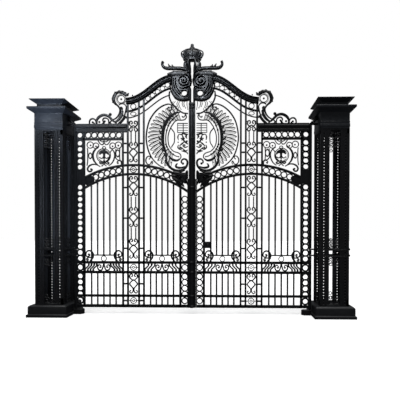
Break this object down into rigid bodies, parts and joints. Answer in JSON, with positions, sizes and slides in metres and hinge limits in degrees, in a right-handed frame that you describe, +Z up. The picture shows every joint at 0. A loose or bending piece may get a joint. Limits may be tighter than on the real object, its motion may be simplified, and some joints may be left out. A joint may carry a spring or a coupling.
{
  "type": "driveway gate",
  "caption": "Tall wrought iron driveway gate: openwork leaves with ring borders, scrolls, an arched crest and a crown, hinged between square openwork piers.",
  "frame": {"origin": "Centre of the left pier's foot, on the ground.", "axes": "+X along the closed gate to the right pier, +Y inward, away from the street, +Z up."},
  "size_m": [6.153, 0.775, 5.255],
  "materials": {
    "leaf_iron": "satin",
    "pier_iron": "satin",
    "hinge_iron": "satin"
  },
  "bodies": {
    "piers": {"left_pier_cage": "pier_iron", "left_pier_fence_lugs": "pier_iron", "left_pier_head": "pier_iron", "left_pier_hinges": "hinge_iron", "left_pier_panels": "pier_iron", "left_pier_plinth": "pier_iron", "right_pier_cage": "pier_iron", "right_pier_fence_lugs": "pier_iron", "right_pier_head": "pier_iron", "right_pier_hinges": "hinge_iron", "right_pier_panels": "pier_iron", "right_pier_plinth": "pier_iron"},
    "left_leaf": {"left_leaf_arch_rings": "leaf_iron", "left_leaf_border_rings": "leaf_iron", "left_leaf_cartouche": "leaf_iron", "left_leaf_centre_post": "leaf_iron", "left_leaf_crest_arch": "leaf_iron", "left_leaf_crest_boss": "leaf_iron", "left_leaf_crest_bow": "leaf_iron", "left_leaf_crest_rails": "leaf_iron", "left_leaf_crown": "leaf_iron", "left_leaf_fan_panel": "leaf_iron", "left_leaf_frieze_scrolls": "leaf_iron", "left_leaf_heel_post": "leaf_iron", "left_leaf_lattice": "leaf_iron", "left_leaf_lower_boss": "leaf_iron", "left_leaf_pilaster_scrolls": "leaf_iron", "left_leaf_shoulder_panel": "leaf_iron", "left_leaf_shoulder_scroll": "leaf_iron", "left_leaf_top_rail": "leaf_iron"},
    "right_leaf": {"right_leaf_arch_rings": "leaf_iron", "right_leaf_border_rings": "leaf_iron", "right_leaf_cartouche": "leaf_iron", "right_leaf_crest_arch": "leaf_iron", "right_leaf_crest_boss": "leaf_iron", "right_leaf_crest_bow": "leaf_iron", "right_leaf_crest_rails": "leaf_iron", "right_leaf_fan_panel": "leaf_iron", "right_leaf_frieze_scrolls": "leaf_iron", "right_leaf_heel_post": "leaf_iron", "right_leaf_lattice": "leaf_iron", "right_leaf_lock_case": "hinge_iron", "right_leaf_lower_boss": "leaf_iron", "right_leaf_pilaster_scrolls": "leaf_iron", "right_leaf_shoulder_panel": "leaf_iron", "right_leaf_shoulder_scroll": "leaf_iron", "right_leaf_top_rail": "leaf_iron"}
  },
  "joints": [
    {"name": "left_leaf_hinge", "type": "hinge", "parent": "piers", "child": "left_leaf", "pos_m": [0.402, 0, 0], "axis": [0, 0, 1], "range_deg": [0, 90]},
    {"name": "right_leaf_hinge", "type": "hinge", "parent": "piers", "child": "right_leaf", "pos_m": [4.976, 0, 0], "axis": [0, 0, -1], "range_deg": [0, 90]}
  ]
}
